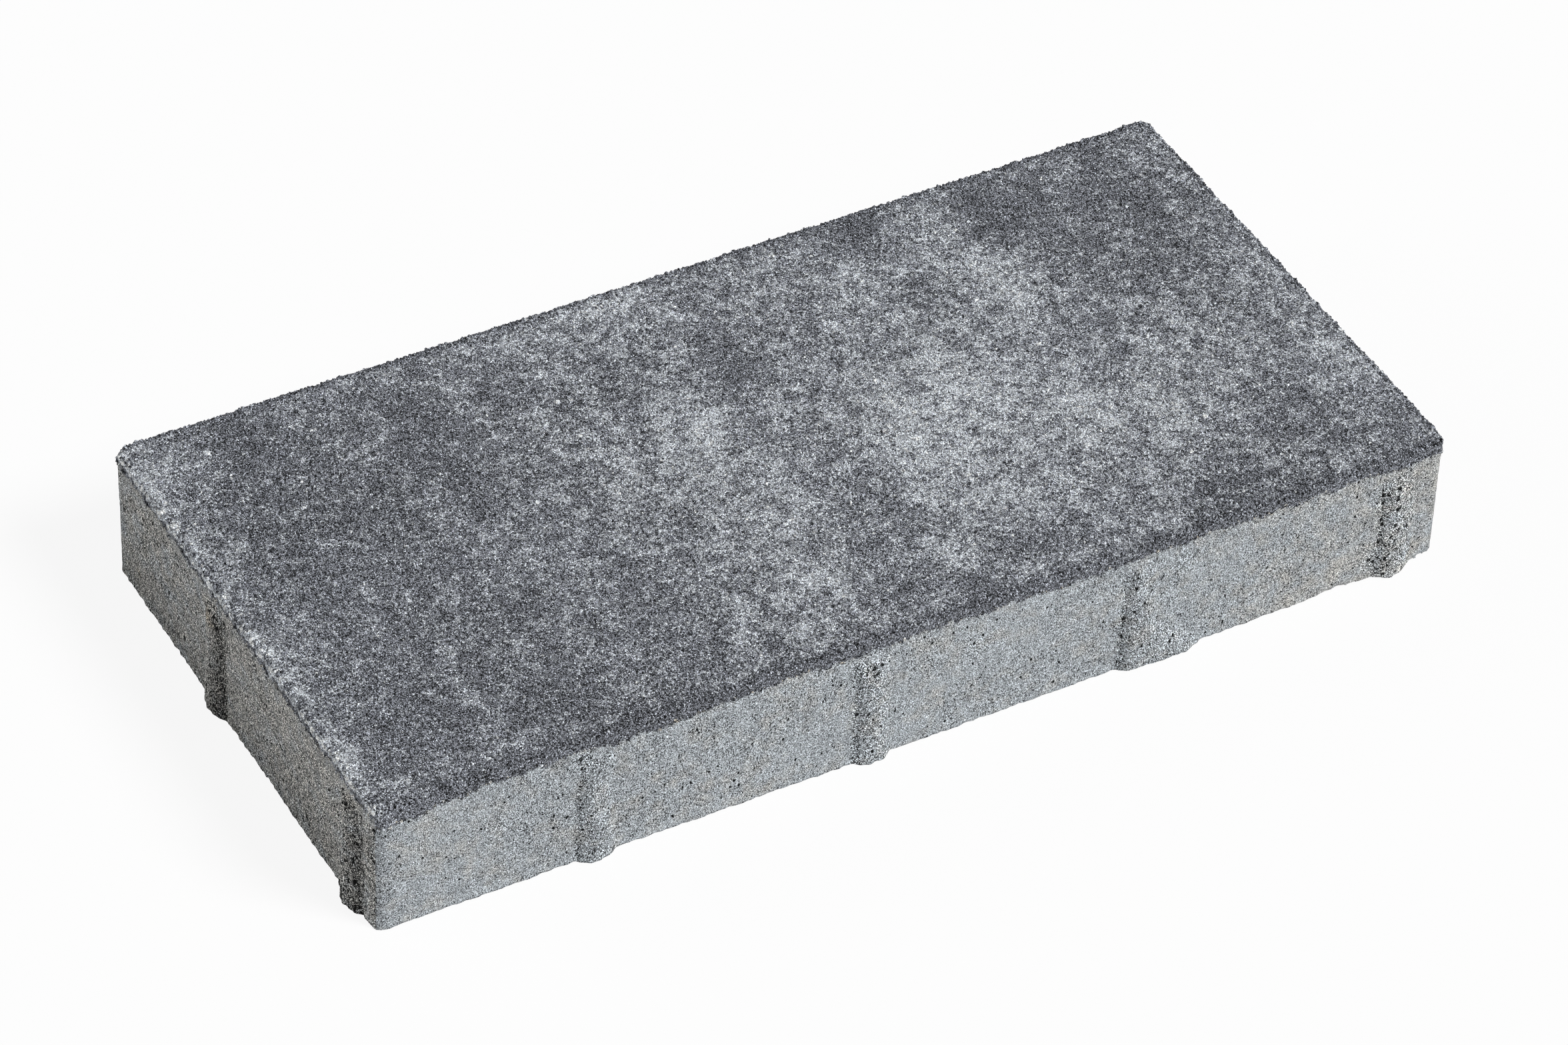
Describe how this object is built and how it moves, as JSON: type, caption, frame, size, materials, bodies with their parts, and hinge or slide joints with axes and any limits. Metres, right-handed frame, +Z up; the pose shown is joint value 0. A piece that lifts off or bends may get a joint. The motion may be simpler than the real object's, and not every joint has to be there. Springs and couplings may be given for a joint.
{
  "type": "concrete paving slab",
  "caption": "Rectangular cast concrete paving slab with a dark coarse-grained walked face, rounded upright corners and upright spacer nibs on its sides.",
  "frame": {"origin": "centre of the underside", "axes": "+X along the length, +Y across the width, +Z up out of the walked face"},
  "size_m": [0.6072, 0.3022, 0.078],
  "materials": {
    "concrete": "matte"
  },
  "bodies": {
    "root": {"paving_slab": "concrete"}
  },
  "joints": []
}
